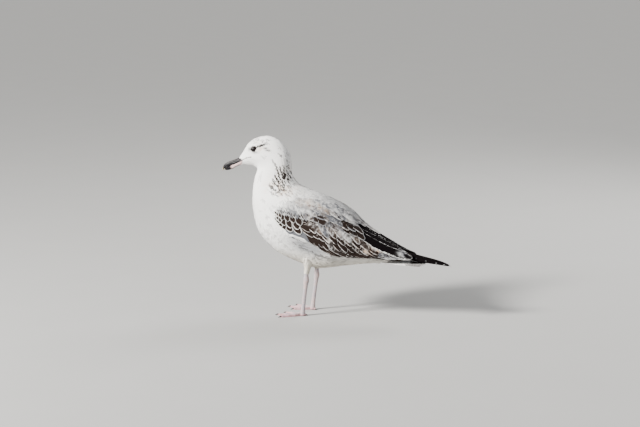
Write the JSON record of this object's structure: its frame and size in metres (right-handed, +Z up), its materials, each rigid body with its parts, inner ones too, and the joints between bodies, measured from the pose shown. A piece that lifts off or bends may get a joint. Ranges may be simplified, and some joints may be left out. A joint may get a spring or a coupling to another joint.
{
  "type": "standing young gull",
  "caption": "Life-size still model of a young white-headed gull standing with folded wings and webbed feet flat on the floor.",
  "frame": {"origin": "on the floor under the middle of the bird's length and width", "axes": "+Z up, +Y towards the tail, +X towards the bird's left side"},
  "size_m": [0.1426, 0.5279, 0.4063],
  "materials": {
    "body_plumage": "skin under soft white feathers, with grey-brown streaks on the hind neck and a grey mantle",
    "covert_plumage": "soft white and cream feathers over the rump and under the tail",
    "wing_plumage": "patterned feathers, grey, brown and white",
    "flight_feathers": "stiff black-brown flight feathers",
    "tail_feathers": "stiff white feathers with a dark band",
    "bill": "satin horn, black with a pale base below",
    "eye": "wet, dark brown",
    "leg_skin": "scaly pale flesh-coloured skin"
  },
  "bodies": {
    "root": {"bill_lower": "bill", "bill_upper": "bill", "eye_left": "eye", "eye_right": "eye", "foot_left": "leg_skin", "foot_right": "leg_skin", "head": "body_plumage", "neck": "body_plumage", "primaries_left": "flight_feathers", "primaries_right": "flight_feathers", "rump": "covert_plumage", "shank_left": "leg_skin", "shank_right": "leg_skin", "tail": "tail_feathers", "thigh_left": "body_plumage", "thigh_right": "body_plumage", "trunk": "body_plumage", "wing_left": "wing_plumage", "wing_right": "wing_plumage"}
  },
  "joints": []
}
